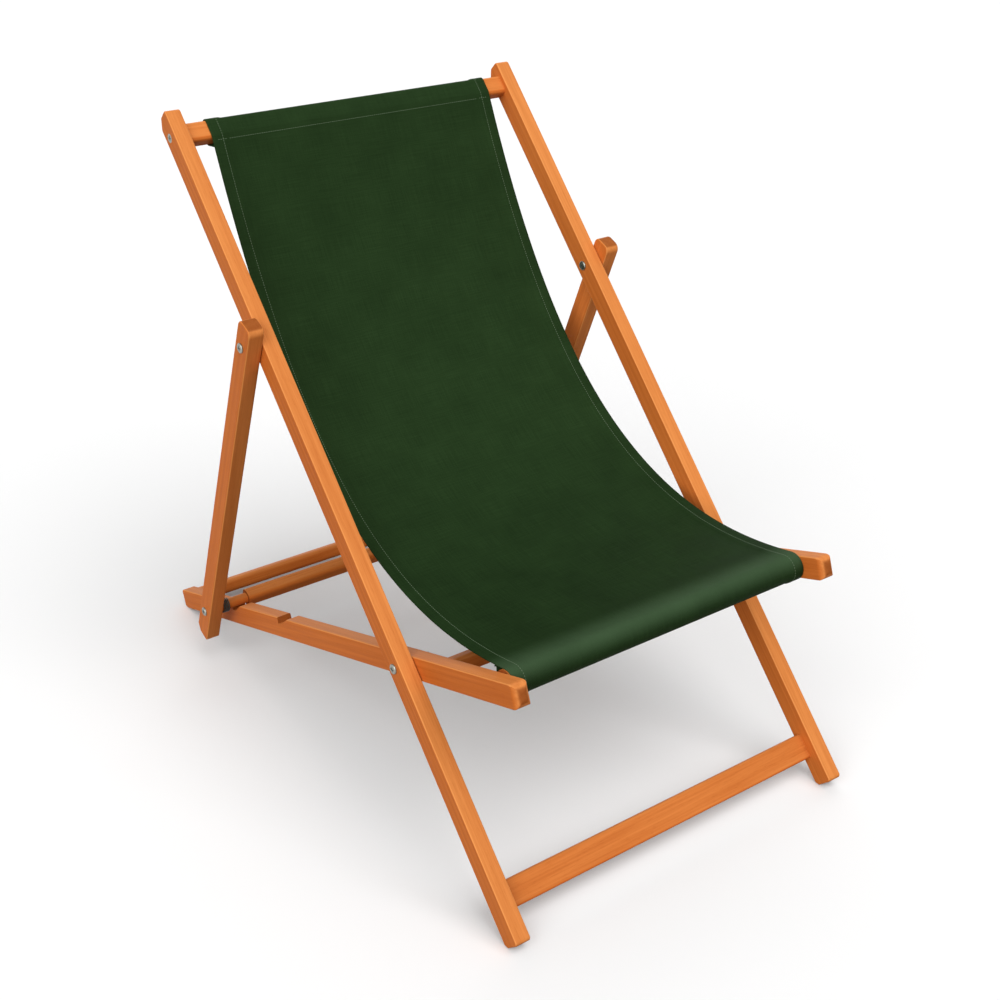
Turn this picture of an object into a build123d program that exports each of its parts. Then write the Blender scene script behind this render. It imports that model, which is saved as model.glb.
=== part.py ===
from build123d import *
import math
import os

# Timber sections and widths
clear_width = 510.0  # between the inner faces of the two long rails
rail_thick = 22.0  # every rail and prop, measured across the chair
rail_depth = 31.0  # every rail and prop, seen from the side
side_gap = 1.0  # spacer between two rails that turn on each other
edge_ease = 2.0  # rounding along the long edges of the timber
corner_ease = 1.0  # rounding of small corners
fit_clearance = 0.05  # radial room of a pin, screw or tenon in its hole

# Back frame: reaches are measured along the long rail from the main pivot
back_slope = 46.8  # degrees between the long rails and the floor
foot_reach = 362.0
top_reach = 788.0
foot_flat = 3.5  # height planed off the foot corner so that it stands flat
foot_round = 5.0
top_chamfer = 12.0  # rear corner of the rail's top end
top_round = 5.0  # front corner of the rail's top end
top_bar_from_end = 32.0  # from the rail's top end to the bar's middle
top_bar_width = 28.0  # along the rail
top_bar_thick = 20.0
top_bar_back = 2.0  # the bar's middle lies this far behind the rail's middle
top_bar_round = 5.0
slat_from_foot = 57.0  # from the rail's foot end to the slat's middle
slat_width = 35.0
slat_thick = 13.0
slat_back = 7.0  # the slat's middle lies this far behind the rail's middle
slat_round = 3.0
tenon_length = 14.0
tenon_shoulder = 3.0  # the slat's tenon is smaller by this much all round

# Seat frame: reaches are measured along the seat rail from the main pivot
front_reach = 234.0
rear_reach = 756.0
seat_drop = 6.0  # the seat rail's middle lies this far below its pivot
rear_flat = 3.0  # height planed off the rear corner so that it stands flat
front_top_round = 12.0
front_low_round = 11.0
front_side_round = 9.5  # the front end seen from above
rear_round = 4.0
front_bar_from_end = 52.0  # from the rail's front end to the bar's middle
front_bar_rise = 2.0  # the bar's middle lies this far above the rail's middle
front_bar_diameter = 34.0
stretcher_width = 24.0  # along the rail
stretcher_thick = 22.0
stretcher_round = 7.0
middle_stretcher_reach = 55.0  # in front of the pivot
rear_stretcher_from_end = 18.0
rear_stretcher_drop = 2.0  # the rear stretcher's top lies this far below the rail's top
tenon_diameter = 14.0
notch_depth = 9.5
notch_floor = 11.0
notch_ramp = 20.0  # length of the slope that rises from a notch towards the front
notch_pitch = 166.0
crest_ramp = 60.0  # behind the used notch the rail's top rises again over this length

# Prop frame: reaches are measured along the prop from its pivot
prop_pivot_reach = 451.0  # along the long rail, from the main pivot
prop_top_reach = 37.0
prop_bar_reach = 540.0
prop_foot_from_bar = 55.0  # from the bar's middle to the prop's foot end
prop_top_round = 10.0
prop_foot_chamfer = 10.0
prop_foot_round = 3.0
prop_bar_width = 22.0
prop_bar_thick = 24.0  # along the prop
prop_bar_round = 7.0
prop_bar_end_gap = 1.5  # between the bar's end and the seat rail
sleeve_diameter = 16.0  # wooden sleeve that lies in the notch
sleeve_rise = 4.0  # the sleeve's axis lies this far above the rail's top
sleeve_clearance = 0.4  # room over the notch wall when the frames fold
bar_bolt_grip = 35.0  # length of the bolt inside the prop bar

# Fasteners
bolt_diameter = 6.0
bolt_head_diameter = 13.5
bolt_head_height = 2.6
bolt_head_round = 1.6
bolt_tail = 2.0  # thread that stands out of the nut
drive_width = 1.6
drive_length = 7.5
drive_depth = 1.2
nut_across_flats = 10.0
nut_height = 5.0
washer_diameter = 14.0
washer_height = 1.2
barrel_diameter = 8.0
barrel_setback = 4.0  # the barrel ends this far below the rail's outer face
barrel_floor = 2.0  # steel between the barrel's head and its bore
bolt_tip_gap = 3.0  # between the bolt's tip and the end of the barrel's bore
screw_diameter = 5.0
screw_head_diameter = 12.0
screw_length = 45.0
turning_gap = 0.1  # between a bolt head or washer and the timber that turns under it

# Sling
sling_width = 454.0
sling_thick = 1.6
sling_gap = 0.3  # between the cloth and the bar inside its hem
leave_angle = 67.0  # degrees below level where the cloth leaves the top bar
arrive_angle = 13.0  # degrees above level where the cloth reaches the front bar
top_pull = 415.0  # how far the cloth keeps its direction below the top bar
front_pull = 300.0  # how far it keeps its direction behind the front bar
top_hem = 10.0  # from the bar to the stitch line of the top hem
front_hem = 14.0

# Helpers for cutting and joining
overcut = 1.0  # a cutting tool runs this far past the face it cuts
weld = 0.5  # overlap of two volumes that are joined into one piece

# Values that follow from the driving dimensions
half_depth = rail_depth / 2
long_inner = clear_width / 2
long_outer = long_inner + rail_thick
seat_outer = long_inner - side_gap
seat_inner = seat_outer - rail_thick
prop_inner = long_outer + side_gap
prop_outer = prop_inner + rail_thick
prop_bar_end = seat_inner - prop_bar_end_gap
top_bar_reach = top_reach - top_bar_from_end
slat_reach = foot_reach - slat_from_foot
front_bar_reach = front_reach - front_bar_from_end
rear_stretcher_reach = rear_reach - rear_stretcher_from_end
prop_foot_reach = prop_bar_reach + prop_foot_from_bar
barrel_length = rail_thick - barrel_setback
screw_head_height = (screw_head_diameter - screw_diameter) / 2
sine = math.sin(math.radians(back_slope))
cosine = math.cos(math.radians(back_slope))
pivot_height = foot_reach * sine + half_depth * cosine - foot_flat
seat_low = half_depth + seat_drop
seat_top = half_depth - seat_drop
rear_corner_slope = math.asin((pivot_height + rear_flat) / math.hypot(rear_reach, seat_low))
seat_slope = math.degrees(rear_corner_slope - math.atan2(seat_low, rear_reach))
frame_angle = math.radians(back_slope + seat_slope)
sleeve_height = seat_top + sleeve_rise
prop_to_seat = math.asin((prop_pivot_reach * math.sin(frame_angle) - sleeve_height) / prop_bar_reach)
notch_reach = prop_pivot_reach * math.cos(frame_angle) + prop_bar_reach * math.cos(prop_to_seat)
prop_slope = -seat_slope - math.degrees(prop_to_seat)


def side_plane(x, slope, pivot=(0.0, 0.0)):
    """Plane of a member seen from the side: its own x runs along the member, its z across the chair."""
    direction = (0, math.cos(math.radians(slope)), math.sin(math.radians(slope)))
    return Plane(origin=(x, pivot[0], pivot[1]), x_dir=direction, z_dir=(1, 0, 0))


def point_on(slope, along, across=0.0, pivot=(0.0, 0.0)):
    """Side-view place (y, z) of a point given along and across a member."""
    angle = math.radians(slope)
    y = pivot[0] + along * math.cos(angle) - across * math.sin(angle)
    z = pivot[1] + along * math.sin(angle) + across * math.cos(angle)
    return y, z


main_pivot = (0.0, 0.0)
prop_pivot = point_on(back_slope, prop_pivot_reach)
prop_bar_place = point_on(prop_slope, prop_bar_reach, 0, prop_pivot)
top_bar_place = point_on(back_slope, top_bar_reach, -top_bar_back)
slat_place = point_on(back_slope, -slat_reach, -slat_back)
front_bar_place = point_on(-seat_slope, -front_bar_reach, front_bar_rise - seat_drop)
middle_place = point_on(-seat_slope, -middle_stretcher_reach, -seat_drop)
rear_middle = seat_top - rear_stretcher_drop - stretcher_thick / 2
rear_place = point_on(-seat_slope, rear_stretcher_reach, rear_middle)


def rod(x_from, x_to, diameter, place):
    """Round bar across the chair between two x values."""
    plane = Plane(origin=(x_from, place[0], place[1]), z_dir=(1, 0, 0))
    return extrude(plane * Circle(diameter / 2), x_to - x_from)


def both_sides(make):
    """The same small piece on the left and the right of the chair, as separate solids."""
    right = make()
    return [right, mirror(right, about=Plane.YZ)]


def hole(place, diameter, x_from, x_to):
    """Cutting tool for a hole on both sides of the chair."""
    size = diameter + 2 * fit_clearance
    return [rod(x_from, x_to, size, place), rod(-x_to, -x_from, size, place)]


def board(points, radii, slope, x_from, x_to, pivot=(0.0, 0.0)):
    """Sawn board with rounded corners and eased edges."""
    outline = make_face(FilletPolyline(*points, radius=radii, close=True))
    blank = extrude(side_plane(x_from, slope, pivot) * outline, x_to - x_from)
    side_faces = blank.faces().filter_by(Axis.X)
    return fillet(side_faces.edges(), edge_ease)


def cross_bar(place, slope, width, thick, corner, length):
    """Straight bar across the chair with rounded long edges."""
    plane = side_plane(-length / 2, slope, place)
    return extrude(plane * RectangleRounded(width, thick, corner), length)


def side_span(side, inner, outer):
    """The x values of a member that lies between two distances from the middle."""
    if side > 0:
        return inner, outer
    return -outer, -inner


def slat_tenon(room):
    """The slat's tenon at its full length, or the mortise for it when given some room."""
    width = slat_width - 2 * tenon_shoulder + 2 * room
    thick = slat_thick - 2 * tenon_shoulder + 2 * room
    length = clear_width + 2 * tenon_length + 2 * room
    return cross_bar(slat_place, back_slope, width, thick, corner_ease, length)


def countersink_head(room):
    """Conical screw head flush with the outer face of the long rail, or the cut for it."""
    radius = screw_head_diameter / 2 + room
    plane = Plane(origin=(long_outer, top_bar_place[0], top_bar_place[1]), z_dir=(-1, 0, 0))
    cone = Cone(radius, screw_diameter / 2 + room, screw_head_height)
    return plane * Pos(0, 0, screw_head_height / 2) * cone


def long_rail(side):
    x_from, x_to = side_span(side, long_inner, long_outer)
    points = [
        (top_reach, half_depth),
        (-foot_reach, half_depth),
        (-foot_reach, -half_depth + foot_flat / cosine),
        (-foot_reach + foot_flat / sine, -half_depth),
        (top_reach - top_chamfer, -half_depth),
        (top_reach, -half_depth + top_chamfer),
    ]
    radii = [top_round, foot_round, corner_ease, corner_ease, top_round, top_round]
    rail = board(points, radii, back_slope, x_from, x_to)
    rail -= hole(main_pivot, bolt_diameter, long_inner - overcut, long_outer + overcut)
    rail -= hole(prop_pivot, barrel_diameter, long_inner - overcut, long_outer + overcut)
    rail -= hole(top_bar_place, screw_diameter, long_inner - overcut, long_outer + overcut)
    rail -= both_sides(lambda: countersink_head(fit_clearance))
    return rail - slat_tenon(fit_clearance)


def cross_recess(x_face, place):
    """Cross-shaped driver recess in a head whose outer face is at x_face."""
    plane = Plane(origin=(x_face, place[0], place[1]), z_dir=(1, 0, 0))
    slots = Rectangle(drive_length, drive_width) + Rectangle(drive_width, drive_length)
    return extrude(plane * slots, -drive_depth)


def wood_screw():
    x_under_head = long_outer - screw_head_height
    shank = rod(long_outer - screw_length, x_under_head + weld, screw_diameter, top_bar_place)
    return shank + countersink_head(0) - cross_recess(long_outer, top_bar_place)


def pan_head(x_face, place):
    """Low domed bolt head standing on the face at x_face."""
    head = rod(x_face, x_face + bolt_head_height, bolt_head_diameter, place)
    rim = head.faces().sort_by(Axis.X)[-1].edges()
    head = fillet(rim, bolt_head_round)
    return head - cross_recess(x_face + bolt_head_height, place)


def headed_bolt(x_tip, x_face, place):
    """Bolt from its tip to the face that its head stands on."""
    return rod(x_tip, x_face + weld, bolt_diameter, place) + pan_head(x_face, place)


def ring(x_from, x_to, outer, inner, place):
    """Washer, spacer or sleeve."""
    bore = rod(x_from - overcut, x_to + overcut, inner + 2 * fit_clearance, place)
    return rod(x_from, x_to, outer, place) - bore


washer_face = seat_inner - turning_gap - washer_height
nut_face = washer_face - nut_height


def main_pivot_bolt():
    return headed_bolt(nut_face - bolt_tail, long_outer, main_pivot)


def main_pivot_nut():
    plane = Plane(origin=(nut_face, main_pivot[0], main_pivot[1]), z_dir=(1, 0, 0))
    body = extrude(plane * RegularPolygon(nut_across_flats / 2, 6, major_radius=False), nut_height)
    return body - rod(nut_face - overcut, seat_inner, bolt_diameter + 2 * fit_clearance, main_pivot)


def main_pivot_washer():
    return ring(washer_face, washer_face + washer_height, washer_diameter, bolt_diameter, main_pivot)


def main_pivot_spacer():
    return ring(seat_outer + turning_gap, long_inner, washer_diameter, bolt_diameter, main_pivot)


def prop_pivot_bolt():
    return headed_bolt(long_inner + barrel_floor + bolt_tip_gap, prop_outer + turning_gap, prop_pivot)


def prop_pivot_barrel():
    """Barrel nut in the long rail, its head on the rail's inner face."""
    head = mirror(pan_head(0, prop_pivot), about=Plane.YZ).moved(Location((long_inner, 0, 0)))
    body = rod(long_inner - weld, long_inner + barrel_length, barrel_diameter, prop_pivot)
    bore = rod(long_inner + barrel_floor, long_outer, bolt_diameter + 2 * fit_clearance, prop_pivot)
    return head + body - bore


def prop_pivot_spacer():
    return ring(long_outer, prop_inner - turning_gap, washer_diameter, bolt_diameter, prop_pivot)


def notch(reach, crest, x_from, x_to):
    """Wood cut away at one notch: a steep wall behind, a slope in front, and a crest that may be lower."""
    floor = seat_top - notch_depth
    above = seat_top + notch_depth
    wall = reach + notch_floor / 2
    slope_end = reach - notch_floor / 2 - notch_ramp
    points = [(slope_end, seat_top), (reach - notch_floor / 2, floor), (wall, floor)]
    if crest:
        points += [(wall, seat_top - crest), (wall + crest_ramp, seat_top), (wall + crest_ramp, above)]
    else:
        points += [(wall, above)]
    points += [(slope_end, above)]
    outline = make_face(Polyline(*points, close=True))
    return extrude(side_plane(x_from, -seat_slope) * outline, x_to - x_from)


def rounded_front(x_from):
    """Everything behind a front end that is rounded when seen from above; it runs on past the rear end."""
    length = front_reach + 2 * rear_reach
    side_round = min(front_side_round, rail_thick / 2 - corner_ease)
    plan = Plane.XZ * RectangleRounded(length, rail_thick, side_round)
    block = extrude(plan, 2 * rail_depth, both=True)
    return side_plane(x_from, -seat_slope) * Pos(length / 2 - front_reach, 0, rail_thick / 2) * block


def seat_rail(side):
    x_from, x_to = side_span(side, seat_inner, seat_outer)
    seat_sine = math.sin(math.radians(seat_slope))
    seat_cosine = math.cos(math.radians(seat_slope))
    points = [
        (rear_reach, seat_top),
        (-front_reach, seat_top),
        (-front_reach, -seat_low),
        (rear_reach - rear_flat / seat_sine, -seat_low),
        (rear_reach, -seat_low + rear_flat / seat_cosine),
    ]
    radii = [rear_round, front_top_round, front_low_round, corner_ease, corner_ease]
    rail = board(points, radii, -seat_slope, x_from, x_to)
    rail = rail & rounded_front(x_from)
    used_crest = sleeve_diameter / 2 + sleeve_clearance - sleeve_rise
    rail -= notch(notch_reach, used_crest, x_from - overcut, x_to + overcut)
    rail -= notch(notch_reach - notch_pitch, 0, x_from - overcut, x_to + overcut)
    rail -= hole(main_pivot, bolt_diameter, seat_inner - overcut, seat_outer + overcut)
    mortise_end = seat_inner + tenon_length + fit_clearance
    for place in (front_bar_place, middle_place, rear_place):
        rail -= hole(place, tenon_diameter, seat_inner - overcut, mortise_end)
    return rail


def tenoned(bar, place):
    """Adds a round tenon at both ends of a bar between the seat rails."""
    for sign in (-1, 1):
        bar += rod(sign * (seat_inner - weld), sign * (seat_inner + tenon_length), tenon_diameter, place)
    return bar


def stretcher(place):
    bar = cross_bar(place, -seat_slope, stretcher_width, stretcher_thick, stretcher_round, 2 * seat_inner)
    return tenoned(bar, place)


def front_bar():
    bar = rod(-seat_inner, seat_inner, front_bar_diameter, front_bar_place)
    return tenoned(bar, front_bar_place)


def top_bar():
    bar = cross_bar(top_bar_place, back_slope, top_bar_width, top_bar_thick, top_bar_round, clear_width)
    return bar - hole(top_bar_place, screw_diameter, long_outer - screw_length, long_inner + overcut)


def foot_slat():
    bar = cross_bar(slat_place, back_slope, slat_width, slat_thick, slat_round, clear_width)
    return bar + slat_tenon(0)


def prop(side):
    x_from, x_to = side_span(side, prop_inner, prop_outer)
    points = [
        (-prop_top_reach, half_depth),
        (-prop_top_reach, -half_depth),
        (prop_foot_reach, -half_depth),
        (prop_foot_reach, half_depth - prop_foot_chamfer),
        (prop_foot_reach - prop_foot_chamfer, half_depth),
    ]
    radii = [prop_top_round, prop_top_round, prop_foot_round, prop_foot_round, prop_foot_round]
    rail = board(points, radii, prop_slope, x_from, x_to, prop_pivot)
    rail -= hole(prop_pivot, bolt_diameter, prop_inner - overcut, prop_outer + overcut)
    rail -= hole(prop_bar_place, bolt_diameter, prop_inner - overcut, prop_outer + overcut)
    return rail


def prop_bar():
    length = 2 * prop_bar_end
    bar = cross_bar(prop_bar_place, prop_slope, prop_bar_thick, prop_bar_width, prop_bar_round, length)
    return bar - hole(prop_bar_place, bolt_diameter, prop_bar_end - bar_bolt_grip, prop_bar_end + overcut)


def prop_bar_sleeve():
    return ring(prop_bar_end, prop_inner, sleeve_diameter, bolt_diameter, prop_bar_place)


def prop_bar_bolt():
    return headed_bolt(prop_bar_end - bar_bolt_grip, prop_outer, prop_bar_place)


def tangent_point(outside, centre, radius, turn):
    """Where a straight layer of cloth from a point outside touches a round edge; turn picks the side."""
    away = outside - Vector(*centre)
    angle = math.atan2(away.Y, away.X) + turn * math.acos(radius / away.length)
    return Vector(*centre) + Vector(math.cos(angle), math.sin(angle)) * radius


def sling():
    """Cloth hanging between the two bars, with a hem sewn round each of them."""
    gap = sling_gap
    skin = sling_gap + sling_thick
    centre = sling_gap + sling_thick / 2
    top_plane = Plane.XY * Location(top_bar_place + (0,), (0, 0, back_slope))
    grown = (top_bar_width + 2 * skin, top_bar_thick + 2 * skin, top_bar_round + skin)
    hollow = (top_bar_width + 2 * gap, top_bar_thick + 2 * gap, top_bar_round + gap)
    top_ring = top_plane * (RectangleRounded(*grown) - RectangleRounded(*hollow))
    front_radius = front_bar_diameter / 2
    front_ring = Pos(*front_bar_place) * (Circle(front_radius + skin) - Circle(front_radius + gap))
    corner_reach = top_bar_reach - top_bar_width / 2 + top_bar_round
    corner_across = top_bar_thick / 2 - top_bar_round
    front_corner = point_on(back_slope, corner_reach, corner_across - top_bar_back)
    rear_corner = point_on(back_slope, corner_reach, -corner_across - top_bar_back)
    leave = math.radians(leave_angle)
    arrive = math.radians(arrive_angle)
    leave_normal = Vector(-math.sin(leave), math.cos(leave))
    arrive_normal = Vector(math.sin(arrive), math.cos(arrive))
    start = Vector(*front_corner) + leave_normal * (top_bar_round + centre)
    finish = Vector(*front_bar_place) + arrive_normal * (front_radius + centre)
    after_start = start + Vector(-math.cos(leave), -math.sin(leave)) * top_pull
    before_finish = finish + Vector(math.cos(arrive), -math.sin(arrive)) * front_pull
    sag = Bezier(start, after_start, before_finish, finish)
    top_join = sag @ (top_hem / sag.length)
    front_join = sag @ (1 - front_hem / sag.length)
    top_back = tangent_point(top_join, rear_corner, top_bar_round + centre, 1)
    front_under = tangent_point(front_join, front_bar_place, front_radius + centre, -1)
    hems = trace(Line(top_back, top_join), sling_thick) + trace(Line(front_under, front_join), sling_thick)
    profile = trace(sag, sling_thick) + hems + top_ring + front_ring
    plane = Plane(origin=(-sling_width / 2, 0, 0), x_dir=(0, 1, 0), z_dir=(1, 0, 0))
    print("sling length between the bars", round(sag.length, 1))
    return extrude(plane * profile, sling_width)


nodes = {
    "long_rail_left": [long_rail(-1)],
    "long_rail_right": [long_rail(1)],
    "top_bar": [top_bar()],
    "foot_slat": [foot_slat()],
    "top_bar_screws": both_sides(wood_screw),
    "main_pivot_bolts": both_sides(main_pivot_bolt),
    "main_pivot_spacers": both_sides(main_pivot_spacer),
    "main_pivot_washers": both_sides(main_pivot_washer),
    "main_pivot_nuts": both_sides(main_pivot_nut),
    "prop_pivot_bolts": both_sides(prop_pivot_bolt),
    "prop_pivot_barrels": both_sides(prop_pivot_barrel),
    "prop_pivot_spacers": both_sides(prop_pivot_spacer),
    "seat_rail_left": [seat_rail(-1)],
    "seat_rail_right": [seat_rail(1)],
    "front_bar": [front_bar()],
    "middle_stretcher": [stretcher(middle_place)],
    "rear_stretcher": [stretcher(rear_place)],
    "prop_left": [prop(-1)],
    "prop_right": [prop(1)],
    "prop_bar": [prop_bar()],
    "prop_bar_sleeves": both_sides(prop_bar_sleeve),
    "prop_bar_bolts": both_sides(prop_bar_bolt),
    "sling": [sling()],
}

# The origin is under the middle of the chair, on the floor
every_solid = [solid for shapes in nodes.values() for shape in shapes for solid in shape.solids()]
box = Compound(children=every_solid).bounding_box()
middle_y = (box.min.Y + box.max.Y) / 2
to_floor = Location((0, -middle_y, pivot_height))

os.makedirs("parts", exist_ok=True)
for name, shapes in nodes.items():
    solids = [solid.moved(to_floor) for shape in shapes for solid in shape.solids()]
    piece = solids[0] if len(solids) == 1 else Compound(solids)
    export_step(piece, f"parts/{name}.step")


def placed(title, place):
    print(title, "y", round(place[0] - middle_y, 3), "z", round(place[1] + pivot_height, 3))


print("slopes: seat", round(seat_slope, 3), "prop", round(prop_slope, 3))
print("notch reach", round(notch_reach, 2))
placed("main pivot", main_pivot)
placed("prop pivot", prop_pivot)
placed("prop bar", prop_bar_place)
placed("top bar", top_bar_place)
placed("front bar", front_bar_place)
placed("free notch", point_on(-seat_slope, notch_reach - notch_pitch, seat_top - notch_depth / 2))
print("size", [round(v, 1) for v in (box.size.X, box.size.Y, box.size.Z)])
print("lowest", round(box.min.Z + pivot_height, 3))
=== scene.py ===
# %% [markdown]
# # A folding deckchair
# The chair is three wooden frames that turn on bolts, with one strip of green canvas hung between two bars.
# The timber and the fittings come from the CAD model as they are and only get a finish here.
# The cloth is what CAD does badly, so it is modelled here and takes the place of the CAD sling.
# Two small coil springs are added here as well.

# %% Load the frame
import math

import bmesh
import bpy
from mathutils import Matrix, Vector, noise
from mathutils.geometry import interpolate_bezier


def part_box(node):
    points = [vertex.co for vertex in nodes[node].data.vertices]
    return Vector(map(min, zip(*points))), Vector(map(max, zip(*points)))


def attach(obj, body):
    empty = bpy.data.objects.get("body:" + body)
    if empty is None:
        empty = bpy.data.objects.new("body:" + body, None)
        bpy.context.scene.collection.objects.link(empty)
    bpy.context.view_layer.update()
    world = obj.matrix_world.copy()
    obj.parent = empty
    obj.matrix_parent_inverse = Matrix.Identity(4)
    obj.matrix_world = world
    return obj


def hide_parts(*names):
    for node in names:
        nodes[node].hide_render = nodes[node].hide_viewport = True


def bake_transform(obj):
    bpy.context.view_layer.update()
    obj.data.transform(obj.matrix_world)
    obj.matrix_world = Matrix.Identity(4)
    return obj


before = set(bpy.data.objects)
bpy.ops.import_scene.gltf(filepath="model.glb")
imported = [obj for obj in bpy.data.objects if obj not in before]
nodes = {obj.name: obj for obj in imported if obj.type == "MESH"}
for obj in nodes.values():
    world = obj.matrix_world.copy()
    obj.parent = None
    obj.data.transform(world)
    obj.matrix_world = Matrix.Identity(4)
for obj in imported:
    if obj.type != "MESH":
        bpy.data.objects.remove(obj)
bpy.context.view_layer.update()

scene = bpy.context.scene

# %% [markdown]
# ## The camera
# The photograph is taken from the chair's front left and a little above it.
# Its place and lens were solved from the rails' ends and edges, so they are plain numbers here.
# A lens of about 53 mm on a 36 mm wide sensor gives the same mild perspective.

# %% Camera
CAMERA_PLACE = (-1.0597, -1.5444, 1.3048)
LENS, SENSOR = 53.494, 36  # millimetres
LOOK_DOWN = 27.64  # degrees below level
LOOK_TURN = -35.65  # degrees from straight ahead, towards the chair's far side
camera = bpy.data.objects.new("camera", bpy.data.cameras.new("camera"))
camera.data.sensor_width = SENSOR
camera.data.lens = LENS
camera.location = CAMERA_PLACE
camera.rotation_euler = (math.radians(90 - LOOK_DOWN), 0, math.radians(LOOK_TURN))
scene.collection.objects.link(camera)
scene.camera = camera
print("camera", [round(v, 2) for v in camera.location])

# %% [markdown]
# ## Shader maths in Python
# A finish is a graph of nodes, and drawing long graphs by hand is hard to read.
# The class below wraps one output socket, so that sums and products on it add Math nodes by themselves.
# Every other node comes from its one method, which sets the node up first and then fills its inputs.

# %% Socket class


class Socket:
    """An output socket, or only its tree to start from. Arithmetic on it adds Math nodes."""

    def __init__(self, tree, output=None):
        self.tree = tree
        self.output = output

    def fill(self, node, inputs):
        """Sets or links a node's inputs, given by name or number."""
        for key, value in inputs.items():
            if isinstance(value, Socket):
                self.tree.links.new(value.output, node.inputs[key])
            else:
                node.inputs[key].default_value = value

    def node(self, kind, inputs, result=0, stops=(), **settings):
        """Adds a node: its settings come first, then its inputs, and result picks the output."""
        made = self.tree.nodes.new("ShaderNode" + kind)
        for name, value in settings.items():
            setattr(made, name, value)
        for i, (position, colour) in enumerate(stops):
            elements = made.color_ramp.elements
            stop = elements[i] if i < len(elements) else elements.new(position)
            stop.position = position
            stop.color = (*colour, 1)
        self.fill(made, inputs)
        return Socket(self.tree, made.outputs[result])

    def math(self, operation, *values):
        return self.node("Math", dict(enumerate(values)), operation=operation)

    def __add__(self, other):
        return self.math("ADD", self, other)

    def __sub__(self, other):
        return self.math("SUBTRACT", self, other)

    def __rsub__(self, other):
        return self.math("SUBTRACT", other, self)

    def __mul__(self, other):
        return self.math("MULTIPLY", self, other)

    __radd__ = __add__
    __rmul__ = __mul__

    def sine(self):
        return self.math("SINE", self)

    def larger(self, other):
        return self.math("MAXIMUM", self, other)

    def faces(self, axis):
        """How squarely a normal lies along an axis, from 0 to 1."""
        inputs = {0: self, 1: axis}
        along_axis = self.node("VectorMath", inputs, result="Value", operation="DOT_PRODUCT")
        return along_axis.math("ABSOLUTE", along_axis)

    def between(self, low, high):
        """Rises smoothly from 0 at low to 1 at high."""
        inputs = {"Value": self, "From Min": low, "From Max": high}
        return self.node("MapRange", inputs, interpolation_type="SMOOTHSTEP")

    def stretched(self, factors):
        """A place multiplied along each axis, which draws a pattern out where the factor is small."""
        return self.node("VectorMath", {0: self, 1: factors}, operation="MULTIPLY")

    def cloudy(self, scale, detail=2.0):
        """Soft noise from 0 to 1 at a place."""
        return self.node("TexNoise", {"Vector": self, "Scale": scale, "Detail": detail})

    def mix(self, first, second, blend="MIX"):
        """The first colour where this is 0, and the second one laid over it where this is 1."""
        inputs = {0: self, 6: first, 7: second}
        return self.node("Mix", inputs, result=2, data_type="RGBA", blend_type=blend)

    def bump(self, depth, strength):
        return self.node("Bump", {"Height": self, "Distance": depth, "Strength": strength})


def new_material(name, coordinates):
    """A material and the place on the surface that its pattern reads."""
    material = bpy.data.materials.new(name)
    material.use_nodes = True
    return material, Socket(material.node_tree).node("TexCoord", {}, result=coordinates)


def set_shader(material, place, inputs):
    """Fills the inputs of the material's main shader."""
    place.fill(material.node_tree.nodes["Principled BSDF"], inputs)
    return material


print("shader helpers ready")

# %% [markdown]
# ## Oiled timber
# The frames are a light hardwood stained to a warm honey colour and oiled to a satin sheen.
# A picture of wood would repeat and could not turn with each board, so the grain is worked out instead.
# Growth rings are distances from a line beside the board, bent by noise and drawn out along the grain.
# Finer streaks and small dark pores lie over them, and the sawn ends are darker because they drink more oil.
# The flanks of a rail, and the front and back of a bar, are painted darker and redder than the rest, as
# shade.
# The eased edges of a rail are the places that lie square to none of its axes.
# The stain is rubbed lighter there and a pale highlight is painted along them, but less so round the sawn
# ends.

# %% Timber finish
STAIN = [
    (0.0, (0.42, 0.1, 0.017)),
    (0.35, (0.565, 0.168, 0.036)),
    (0.7, (0.68, 0.233, 0.058)),
    (1.0, (0.785, 0.296, 0.083)),
]
END_GRAIN = (0.5, 0.42, 0.36, 1)
# Rubbed wear and a painted highlight on the eased edges
WEAR_AND_EDGE_HIGHLIGHT = (0.86, 0.38, 0.12, 1)
# Painted shade on the sides of the boards
FLANK_SHADE = (0.98, 0.8, 0.6, 1)
RING_WAVE = 620  # radians of the rings' wave in a metre
RING_BEND = 0.03  # metres by which noise bends the rings
BEND_SCALE, STREAK_SCALE, PORE_SCALE, PATCH_SCALE = 24, 420, 1500, 9
LONG, LONGER, SHORT = (1, 0.05, 1), (1, 0.025, 1), (1, 0.25, 1)  # how far a pattern is drawn out along Y
MIDDLE_SHADE = 0.56


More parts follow.
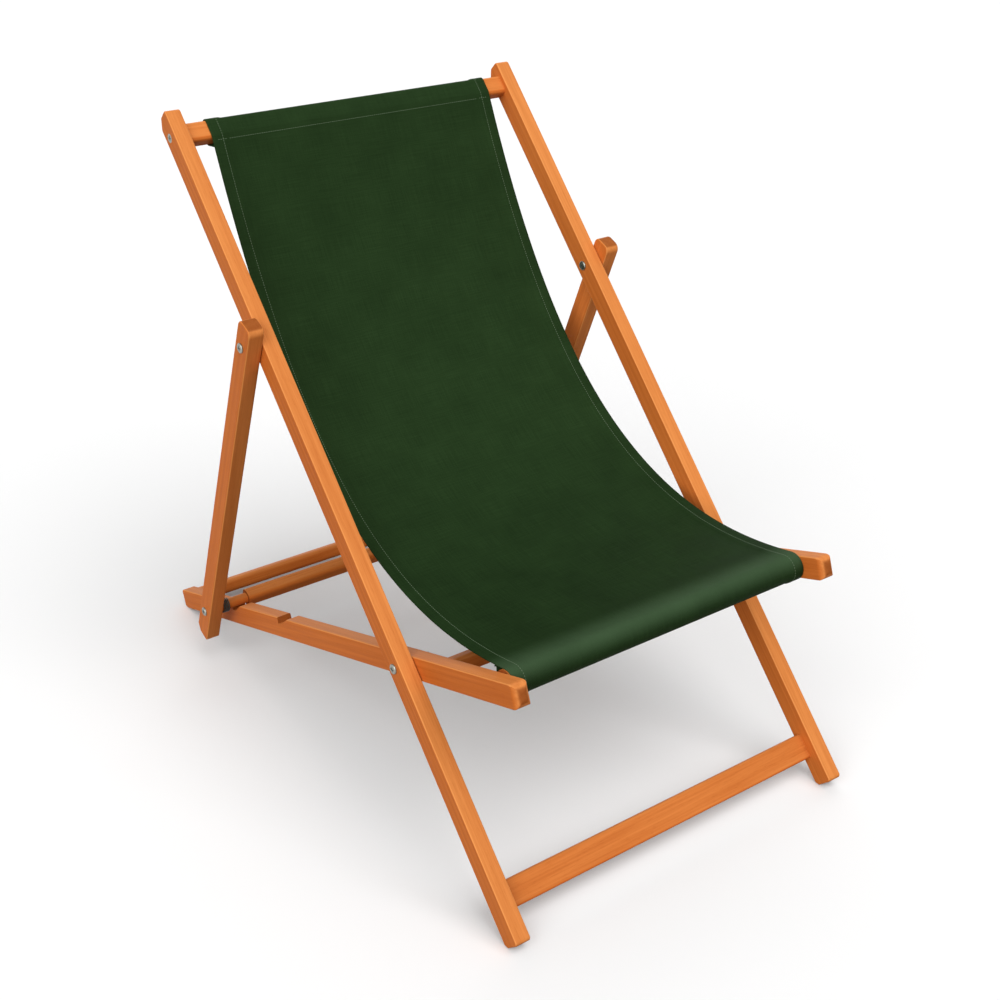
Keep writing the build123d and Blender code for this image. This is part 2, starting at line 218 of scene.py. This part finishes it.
def timber(name, turn, length_axis, shift, tone, is_rail):
    """Wood for one board. turn lays the board's length along Y, and shift moves it within the tree."""
    material, place = new_material(name, "Object")
    board = place.node("Mapping", {"Vector": place, "Rotation": turn, "Location": shift})
    drawn = board.stretched(LONG)
    radius = drawn.node("VectorMath", {0: drawn}, result="Value", operation="LENGTH")
    rings = ((radius + drawn.cloudy(BEND_SCALE, 3) * RING_BEND) * RING_WAVE).sine()
    streaks = board.stretched(LONGER).cloudy(STREAK_SCALE, 3)
    pores = drawn.cloudy(PORE_SCALE, 1).between(0.6, 0.72)
    patches = board.stretched(SHORT).cloudy(PATCH_SCALE, 2)
    shade = MIDDLE_SHADE + tone + rings * 0.06 - pores * 0.14
    shade = shade + (streaks - 0.5) * 0.55 + (patches - 0.5) * 0.45
    colour = shade.node("ValToRGB", {"Fac": shade}, stops=STAIN)

    normal = place.node("TexCoord", {}, result="Normal")
    endwise = normal.faces(length_axis)
    sawn_end = endwise.between(0.75, 0.95)
    colour = sawn_end.mix(colour, END_GRAIN, "MULTIPLY")
    sidewise = normal.faces((1, 0, 0) if is_rail else (0, 1, 0))
    # Painted shade: faces turned to the side of a rail, or to the front and back of a bar, are darkened and
    # reddened.
    colour = sidewise.between(0.6, 0.95).mix(colour, FLANK_SHADE, "MULTIPLY")
    if is_rail:
        facewise = normal.faces(Vector(length_axis).cross((1, 0, 0)))
        flatness = sidewise.larger(facewise).larger(endwise)
        along_board = 1 - endwise.between(0.2, 0.6) * 0.85
        # Rubbed wear and a painted highlight: the eased edges are paler, less so round the sawn ends.
        edge = (1 - flatness).between(0.02, 0.22) * (0.25 + patches * 0.4) * along_board
        colour = edge.mix(colour, WEAR_AND_EDGE_HIGHLIGHT)
    return set_shader(material, place, {
        "Base Color": colour,
        "Roughness": 0.38 + streaks * 0.16 + sawn_end * 0.2,
        "Specular IOR Level": 0.05,
        "Normal": (streaks * 0.6 - pores).bump(0.0004, 0.25),
    })


BACK_SLOPE, SEAT_SLOPE, PROP_SLOPE = 46.8, -19.612, -67.377  # degrees
# Each board's slope, which is None for a bar across the chair, and how much lighter it is than the others
BOARDS = {
    "long_rail_left": (BACK_SLOPE, 0.02),
    "long_rail_right": (BACK_SLOPE, 0.06),
    "seat_rail_left": (SEAT_SLOPE, -0.03),
    "seat_rail_right": (SEAT_SLOPE, 0.0),
    "prop_left": (PROP_SLOPE, -0.02),
    "prop_right": (PROP_SLOPE, 0.02),
    "top_bar": (None, 0.05),
    "foot_slat": (None, -0.2),
    "front_bar": (None, 0.0),
    "middle_stretcher": (None, 0.03),
    "rear_stretcher": (None, -0.02),
    "prop_bar": (None, 0.02),
    "prop_bar_sleeves": (None, 0.0),
}
for number, (node, (slope, tone)) in enumerate(BOARDS.items()):
    is_rail = slope is not None
    angle = math.radians(slope or 0)
    turn = (-angle, 0, 0) if is_rail else (0, 0, math.pi / 2)
    length_axis = (0, math.cos(angle), math.sin(angle)) if is_rail else (1, 0, 0)
    shift = (0.05 + 0.017 * number, 0.9 * number, 0.06 - 0.009 * number)
    wood = timber("timber_" + node, turn, length_axis, shift, tone, is_rail)
    nodes[node].material_slots[0].material = wood
print(len(BOARDS), "boards finished, each with its own grain")

# %% [markdown]
# ## Zinc fittings
# The bolts, nuts, washers, spacers and screws are zinc-plated steel.
# Plating is a metal with a slightly cloudy gloss, and fine turning marks keep it from looking like chrome.

# %% Zinc finish
ZINC_NODES = [name for name in nodes if name not in BOARDS and name != "sling"]


def steel(name, dull, bright):
    """Steel that is cloudy between a dull and a bright colour."""
    material, place = new_material(name, "Object")
    clouds = place.cloudy(260, 3)
    marks = place.stretched((0.2, 1, 1)).cloudy(2400, 1)
    return set_shader(material, place, {
        "Base Color": clouds.mix(dull, bright),
        "Metallic": 1.0,
        "Roughness": 0.26 + clouds * 0.18,
        "Normal": marks.bump(0.0001, 0.2),
    })


zinc = steel("zinc", dull=(0.2, 0.21, 0.18, 1), bright=(0.42, 0.43, 0.39, 1))
for name in ZINC_NODES:
    nodes[name].material_slots[0].material = zinc
print(len(ZINC_NODES), "sets of fittings finished")

# %% [markdown]
# ## Springs on the prop bar
# A short coil spring of near-black steel sits on each sleeve of the prop bar, between the seat rail and the
# prop. Its dark finish is painted shade for the shaded gap there.
# A coil is a small round of wire that turns about the bar while it moves along it.
# Spin does just that when it is given a step along its axis, so no helix has to be worked out.

# %% Springs
COIL_RADIUS, WIRE_RADIUS = 0.0105, 0.0011
COIL_TURNS, COIL_PITCH = 4, 0.0027
TURN_STEPS, WIRE_SIDES = 20, 8
COIL_FROM_RAIL = 0.009  # from the seat rail's outer face


def new_piece(name, shape):
    """An object at the origin made from a bmesh."""
    mesh = bpy.data.meshes.new(name)
    shape.to_mesh(mesh)
    shape.free()
    mesh.shade_smooth()
    piece = bpy.data.objects.new(name, mesh)
    scene.collection.objects.link(piece)
    return piece


def middle_of(node):
    """The middle of a CAD piece in side view."""
    low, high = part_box(node)
    return Vector((0, (low.y + high.y) / 2, (low.z + high.z) / 2))


def coil_springs():
    """One spring on each sleeve, wound outwards from the seat rail."""
    shape = bmesh.new()
    rail_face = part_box("seat_rail_right")[1].x
    for side in (-1, 1):
        middle = middle_of("prop_bar_sleeves") + Vector((side * (rail_face + COIL_FROM_RAIL), 0, 0))
        wire = bmesh.ops.create_circle(shape, segments=WIRE_SIDES, radius=WIRE_RADIUS)["verts"]
        bmesh.ops.rotate(shape, verts=wire, matrix=Matrix.Rotation(math.pi / 2, 3, "X"))
        bmesh.ops.translate(shape, verts=wire, vec=middle + Vector((0, 0, COIL_RADIUS)))
        rim = [edge for edge in shape.edges if edge.verts[0] in wire]
        step = (side * COIL_PITCH / TURN_STEPS, 0, 0)
        bmesh.ops.spin(shape, geom=rim, cent=middle, axis=(1, 0, 0), dvec=step,
                       angle=math.tau * COIL_TURNS, steps=COIL_TURNS * TURN_STEPS)
    cut_ends = [edge for edge in shape.edges if edge.is_boundary]
    bmesh.ops.holes_fill(shape, edges=cut_ends, sides=WIRE_SIDES)
    bmesh.ops.recalc_face_normals(shape, faces=shape.faces)
    return new_piece("prop_bar_springs", shape)


springs = coil_springs()
# Near-black steel: painted shade for the dark gap between the seat rail and the prop.
gap_shade_steel = steel("gap_shade_steel", dull=(0.03, 0.032, 0.026, 1), bright=(0.1, 0.1, 0.085, 1))
springs.data.materials.append(gap_shade_steel)
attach(springs, "prop_frame")
print("springs", len(springs.data.polygons), "faces")

# %% [markdown]
# ## The sling's line
# Seen from the side, the cloth is one line. It starts in the hem behind the top bar, runs up and over it,
# hangs in a long sag, goes over and round the front bar, and ends in the hem under the seat.
# A simulation would have to guess the slack, while the photograph shows the sag, so the line is drawn.
# The bars' places are read from the frame, and the sag is one Bezier curve between them.

# %% Side line of the cloth
CLOTH_THICK = 0.001
LAYER = 0.00115  # from one layer of cloth to the next
BAR_GAP = 0.0002  # between a bar and the cloth
BAR_HALF_WIDTH, BAR_HALF_THICK, BAR_CORNER = 0.014, 0.010, 0.005  # the top bar's section
FRONT_RADIUS = 0.017  # the front bar's
LEAVE, ARRIVE = 67, 13  # degrees of slope at the top bar and at the front bar
TOP_PULL, FRONT_PULL = 0.415, 0.300  # how far the sag's handles reach
TOP_HEM, FRONT_HEM = 0.008, 0.012  # from a bar to the stitches of its sleeve
SEAM_END = 0.010  # cloth beyond the stitches of a hem
TURN = BAR_GAP + CLOTH_THICK / 2  # from a bar to the middle of the cloth
SAG_POINTS, CORNER_STEPS, FRONT_STEPS = 180, 5, 28


def bearing(degrees):
    """A direction in side view: 0 points to the back of the chair, 90 up."""
    return Vector((0, math.cos(math.radians(degrees)), math.sin(math.radians(degrees))))


def arc(middle, radius, start, stop, steps):
    """Points round a middle from one bearing to another."""
    return [middle + bearing(start + (stop - start) * i / steps) * radius for i in range(steps + 1)]


def touch(outside, middle, radius, side):
    """Bearing at which a straight layer from a point outside touches a round edge."""
    away = outside - middle
    return math.degrees(math.atan2(away.z, away.y) + side * math.acos(radius / away.length))


def outward(points, i):
    """Direction out of the cloth's upper face at one point of a line."""
    ahead = points[min(i + 1, len(points) - 1)] - points[max(i - 1, 0)]
    return Vector((0, ahead.z, -ahead.y)).normalized()


def second_layer(points, distances):
    """Points under the first layer of cloth, at these distances from the start of the line."""
    layer, run = [], 0.0
    for i in range(1, len(points)):
        run += (points[i] - points[i - 1]).length
        if distances[0] <= run <= distances[1]:
            layer.append(points[i] - outward(points, i) * LAYER)
    return layer


top_bar, front_bar = middle_of("top_bar"), middle_of("front_bar")
along, across = bearing(BACK_SLOPE), bearing(BACK_SLOPE + 90)


def bar_corner(up, front):
    """The middle of one rounded corner of the top bar: upper or lower (1 or -1), front or back (1 or -1)."""
    reach, rise = BAR_HALF_WIDTH - BAR_CORNER, BAR_HALF_THICK - BAR_CORNER
    return top_bar + along * (up * reach) + across * (front * rise)


start = bar_corner(-1, 1) + bearing(LEAVE + 90) * (BAR_CORNER + TURN)
finish = front_bar + bearing(90 - ARRIVE) * (FRONT_RADIUS + TURN)
start_handle = start + bearing(LEAVE + 180) * TOP_PULL
finish_handle = finish + bearing(-ARRIVE) * FRONT_PULL
sag = interpolate_bezier(start, start_handle, finish_handle, finish, SAG_POINTS)

top_seam = second_layer(sag, (TOP_HEM, TOP_HEM + SEAM_END))[::-1]
bend = BAR_CORNER + TURN
back_turn = touch(top_seam[-1], bar_corner(-1, -1), bend, 1)
top_loop = arc(bar_corner(-1, -1), bend, back_turn, BACK_SLOPE - 90, CORNER_STEPS)
top_loop += arc(bar_corner(1, -1), bend, BACK_SLOPE - 90, BACK_SLOPE, CORNER_STEPS)
top_loop += arc(bar_corner(1, 1), bend, BACK_SLOPE, BACK_SLOPE + 90, CORNER_STEPS)
top_loop += arc(bar_corner(-1, 1), bend, BACK_SLOPE + 90, LEAVE + 90, 2)[:-1]

backwards = [Vector((0, -p.y, p.z)) for p in sag[::-1]]
front_seam = second_layer(backwards, (FRONT_HEM, FRONT_HEM + SEAM_END))
front_seam = [Vector((0, -p.y, p.z)) for p in front_seam]
under_turn = 360 + touch(front_seam[0], front_bar, FRONT_RADIUS + TURN, -1)
front_loop = arc(front_bar, FRONT_RADIUS + TURN, 90 - ARRIVE, under_turn, FRONT_STEPS)[1:]

line = top_seam + top_loop + sag + front_loop + front_seam
first_sag, last_sag = len(top_seam + top_loop), len(top_seam + top_loop + sag) - 1
runs = [0.0]
for before, after in zip(line, line[1:]):
    runs.append(runs[-1] + (after - before).length)
sag_length = runs[last_sag] - runs[first_sag]
print("cloth cut", round(runs[-1], 4), "m long,", round(sag_length, 4), "m of it between the bars")

# %% [markdown]
# ## The sling's cloth
# Canvas is cut a little wider than the sling, and each side is turned under and stitched into a hem.
# A flat grid is the cut cloth. Each of its rows goes to a point of the side line, and each of its columns
# to a place across the chair.
# The outer columns run round the fold and back underneath, so the hems are real double cloth.
# The grid keeps the flat cloth's measure as its UV map, in metres, and Solidify gives it its thickness.

# %% Cloth
HALF_WIDTH = 0.224  # at the top bar
WIDEN = 0.031  # the sling is cut this share wider at the front bar
HEM_TURN = 0.0175  # cloth turned under at each side
HEM_TOP = HALF_WIDTH - 0.0185  # from here outwards the cloth lies on its own turned-under hem
HEM_RISE = 0.005  # width of the slope up to there
OUTER, OUTERMOST = HALF_WIDTH - 0.012, HALF_WIDTH - 0.006
DISH = 0.004  # the middle hangs this much lower than the sides
RIPPLE = 0.0012
PLAIN_COLUMNS, FOLD_STEPS = 20, 6


def half_columns():
    """Places across the right half and their height over the lowest layer, out and back under."""
    fold = LAYER / 2
    columns = [((HEM_TOP - HEM_RISE) * i / PLAIN_COLUMNS, 0.0) for i in range(PLAIN_COLUMNS + 1)]
    columns += [(HEM_TOP - HEM_RISE / 2, LAYER / 2), (HEM_TOP, LAYER)]
    columns += [(OUTER, LAYER), (OUTERMOST, LAYER)]
    for i in range(FOLD_STEPS + 1):
        turn = math.radians(90 - 180 * i / FOLD_STEPS)
        columns.append((HALF_WIDTH - fold + fold * math.cos(turn), fold + fold * math.sin(turn)))
    columns += [(OUTERMOST, 0.0), (OUTER, 0.0), (HALF_WIDTH - HEM_TURN, 0.0)]
    return columns


right = half_columns()
columns = [(-x, lift) for x, lift in right[:0:-1]] + right
widths = [0.0]
for before, after in zip(columns, columns[1:]):
    widths.append(widths[-1] + math.dist(before, after))


def cloth_place(x, lift, row):
    """Where a point of the cloth hangs, given its place across, its layer and its row."""
    share = min(max((runs[row] - runs[first_sag]) / sag_length, 0.0), 1.0)
    slack = math.sin(math.pi * share) ** 2
    sink = DISH * slack * (1 - (x / HALF_WIDTH) ** 2)
    wave = RIPPLE * slack * noise.noise(Vector((x * 7, runs[row] * 6, 3.7)))
    across_place = Vector((x * (1 + WIDEN * share), 0, 0))
    return line[row] + across_place + outward(line, row) * (lift + wave - sink)


def hung_cloth():
    """The cut cloth as a grid of one unit, with its flat measure, moved to where it hangs."""
    shape = bmesh.new()
    flat = shape.loops.layers.uv.new("flat")
    wide, long = len(columns) - 1, len(line) - 1
    bmesh.ops.create_grid(shape, x_segments=wide, y_segments=long, size=0.5)
    cell = {v: (round((v.co.x + 0.5) * wide), round((v.co.y + 0.5) * long)) for v in shape.verts}
    for face in shape.faces:
        for corner in face.loops:
            column, row = cell[corner.vert]
            corner[flat].uv = (widths[column], runs[row])
    for vert, (column, row) in cell.items():
        vert.co = cloth_place(*columns[column], row)
    return new_piece("sling_cloth", shape)


cloth = hung_cloth()
skin = cloth.modifiers.new("canvas", "SOLIDIFY")
skin.thickness = CLOTH_THICK
skin.offset = 0
print("cloth", len(cloth.data.polygons), "faces, cut", round(widths[-1], 4), "m wide")

# %% [markdown]
# ## Stitches
# One row of stitches closes each side hem, and one row closes the sleeve round the top bar.
# The sleeve round the front bar is sewn blind, so its row shows only underneath.
# A painted line would vanish in the mesh files, so every stitch is a small grain of thread.
# It lies half in the cloth.

# %% Thread
STITCH_PITCH = 0.0034
STITCH_SIZE = (0.00045, 0.0013, 0.0003)  # half width, half length, half height
STITCH_IN = 0.0145  # from the cloth's edge to the side seams
thread = bmesh.new()
grain_shape = bmesh.new()
bmesh.ops.create_uvsphere(grain_shape, u_segments=6, v_segments=4, radius=1)
grain = bpy.data.meshes.new("grain")
grain_shape.to_mesh(grain)
grain_shape.free()


def row_near(run):
    """The row of the cloth at a distance along the line."""
    return min(range(len(runs)), key=lambda i: abs(runs[i] - run))


def stitch(place, ahead, up):
    """One grain of thread, long in the direction ahead."""
    side = ahead.cross(up)
    turn = Matrix((side, ahead, up)).transposed().to_4x4()
    size = Matrix.Diagonal((*STITCH_SIZE, 1))
    one = grain.copy()
    one.transform(Matrix.Translation(place) @ turn @ size)
    thread.from_mesh(one)
    bpy.data.meshes.remove(one)


def side_seam(x, lift, first, last, face):
    """Stitches along one side of the cloth, on its upper face (1) or its lower face (-1)."""
    for i in range(round((last - first) / STITCH_PITCH)):
        run = first + (i + 0.5) * STITCH_PITCH
        row = max(r for r in range(len(runs) - 1) if runs[r] <= run)
        part = (run - runs[row]) / (runs[row + 1] - runs[row])
        here, there = cloth_place(x, lift, row), cloth_place(x, lift, row + 1)
        up = outward(line, row).lerp(outward(line, row + 1), part).normalized()
        ahead = (there - here).normalized()
        up = (up - ahead * up.dot(ahead)).normalized()
        stitch(here.lerp(there, part) + up * (face * CLOTH_THICK / 2), ahead, up)


def cross_seam(run, face):
    """Stitches across the cloth at a distance along the line."""
    row = row_near(run)
    up = outward(line, row)
    count = round(2 * OUTERMOST / STITCH_PITCH)
    for i in range(count):
        x = (i + 0.5 - count / 2) * STITCH_PITCH
        lift = LAYER if abs(x) > HEM_TOP else 0.0
        stitch(cloth_place(x, lift, row) + up * (face * CLOTH_THICK / 2), Vector((1, 0, 0)), up)


single_from = runs[first_sag] + TOP_HEM + SEAM_END
single_to = runs[last_sag] - FRONT_HEM - SEAM_END
for x in (STITCH_IN - HALF_WIDTH, HALF_WIDTH - STITCH_IN):
    side_seam(x, LAYER, runs[0], runs[-1], 1)
    side_seam(x, 0.0, single_from, single_to, -1)
for run in (SEAM_END, runs[first_sag] + TOP_HEM, runs[-1] - SEAM_END):
    cross_seam(run, 1)
stitches = new_piece("sling_stitches", thread)
print("thread", len(stitches.data.polygons), "faces")

# %% [markdown]
# ## Green canvas
# The canvas is a plain weave in a dull, dark bottle green.
# The weave reads the flat UV map, so it follows the cloth round the bars and through the fold.
# Two crossed sine waves give the over and under of the yarns, and soft noise gives the patchy dye.
# The seat is painted darker as shade, and a pale highlight is painted where the cloth turns over the front
# bar.

# %% Canvas and thread finishes
YARN = 0.0011  # from one yarn to the next
# Painted shade on the low seat
SEAT_SHADE = (-0.5, -0.1)  # darkens over this stretch of the seat, in metres from the turn over the front bar
# Painted highlight: a pale band on the cloth where it turns over the front bar
HIGHLIGHT_STARTS, HIGHLIGHT_ENDS = (-0.04, 0.006), (0.008, 0.034)  # the pale band's two sides, from the turn
WRAP_HIGHLIGHT = (0.042, 0.078, 0.036, 1)
GREEN = [
    (0.0, (0.0068, 0.017, 0.0048)),
    (0.5, (0.0153, 0.035, 0.0106)),
    (1.0, (0.0255, 0.055, 0.018)),
]


def canvas():
    material, flat = new_material("green_canvas", "UV")
    weft, warp = (flat.node("SeparateXYZ", {0: flat}, result=axis) for axis in "XY")
    weave = (weft * (math.pi / YARN)).sine() * (warp * (math.pi / YARN)).sine()
    slubs = flat.stretched((1, 0.03, 1)).cloudy(700, 1) + flat.stretched((0.03, 1, 1)).cloudy(700, 1)
    dye = flat.cloudy(16, 4)
    fuzz = flat.cloudy(900, 2)
    shade = 0.52 + (dye - 0.5) * 0.5 + (slubs - 1) * 0.35 + weave * 0.12 + (fuzz - 0.5) * 0.3
    from_turn = warp - runs[last_sag]
    # Painted shade: the seat is darkened towards the front bar.
    shade = shade - from_turn.between(*SEAT_SHADE) * 0.24
    colour = shade.node("ValToRGB", {"Fac": shade}, stops=GREEN)
    # Painted highlight: a pale band where the cloth turns over the front bar.
    highlight_band = from_turn.between(*HIGHLIGHT_STARTS) * (1 - from_turn.between(*HIGHLIGHT_ENDS))
    highlight_band = highlight_band * (0.6 + dye * 0.6)
    return set_shader(material, flat, {
        "Base Color": highlight_band.mix(colour, WRAP_HIGHLIGHT),
        "Roughness": 0.6 + (dye - 0.5) * 0.2 - weave * 0.05,
        "Specular IOR Level": 0.015,
        "Normal": (weave + slubs * 0.8).bump(0.0003, 0.5),
    })


def thread_finish():
    material, place = new_material("green_thread", "Object")
    twist = place.cloudy(1800, 1)
    colour = twist.mix((0.06, 0.1, 0.05, 1), (0.12, 0.17, 0.1, 1))
    return set_shader(material, place, {"Base Color": colour, "Roughness": 0.55 + twist * 0.2})


cloth.data.materials.append(canvas())
stitches.data.materials.append(thread_finish())
print("canvas and thread finished")

# %% [markdown]
# ## The sling in place
# The cloth and its stitches keep their places, baked into their meshes, and the CAD sling is hidden.

# %% Sling in place
for piece in (cloth, stitches):
    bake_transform(piece)
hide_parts("sling")

# %% [markdown]
# ## Studio
# The chair stands on a plain pale floor under three wide suns.
# The strongest comes from the front left, one from above the front, and a weak one from behind.
# Suns light the floor evenly everywhere, so it stays pale to the horizon and keeps the chair's shadow.
# The world and the floor look white to the camera and in reflections, but throw less light back on the chair.

# %% Floor, light and world
AMBIENT = 0.38  # the world's light on the chair
FLOOR_SIZE = 30
FLOOR_SEEN = (0.88, 0.88, 0.88, 1)
FLOOR_BOUNCE = (0.11, 0.07, 0.04, 1)


def seen_rays(tree):
    """1 for rays from the camera and for reflected or refracted ones."""
    kinds = ("Is Camera Ray", "Is Glossy Ray", "Is Transmission Ray")
    first, second, third = (Socket(tree).node("LightPath", {}, result=kind) for kind in kinds)
    return first.larger(second).larger(third)


floor_shape = bmesh.new()
bmesh.ops.create_grid(floor_shape, x_segments=1, y_segments=1, size=FLOOR_SIZE)
floor = new_piece("floor", floor_shape)
floor_material = bpy.data.materials.new("floor")
floor_material.use_nodes = True
seen = seen_rays(floor_material.node_tree)
set_shader(floor_material, seen, {
    "Base Color": seen.mix(FLOOR_BOUNCE, FLOOR_SEEN),
    "Roughness": 1.0,
    "Specular IOR Level": 0.0,
})
floor.data.materials.append(floor_material)

scene.world = bpy.data.worlds.new("studio")
scene.world.use_nodes = True
sky = seen_rays(scene.world.node_tree)
background = scene.world.node_tree.nodes["Background"]
sky.fill(background, {"Color": (1, 1, 1, 1), "Strength": AMBIENT + sky * (1 - AMBIENT)})


def soft_sun(name, towards, strength, spread):
    """A sun as wide as a soft box; towards is the direction from the chair to the light."""
    lamp = bpy.data.objects.new(name, bpy.data.lights.new(name, "SUN"))
    lamp.data.energy = strength
    lamp.data.angle = math.radians(spread)
    lamp.rotation_euler = Vector(towards).to_track_quat("Z", "Y").to_euler()
    scene.collection.objects.link(lamp)


soft_sun("front_left", (-0.78, -0.44, 0.48), strength=1.95, spread=60)
soft_sun("above", (0.1, -0.55, 0.83), strength=1.6, spread=50)
soft_sun("behind", (0.45, 0.75, 0.5), strength=0.6, spread=60)
scene.view_settings.view_transform = "Standard"
print("studio ready")
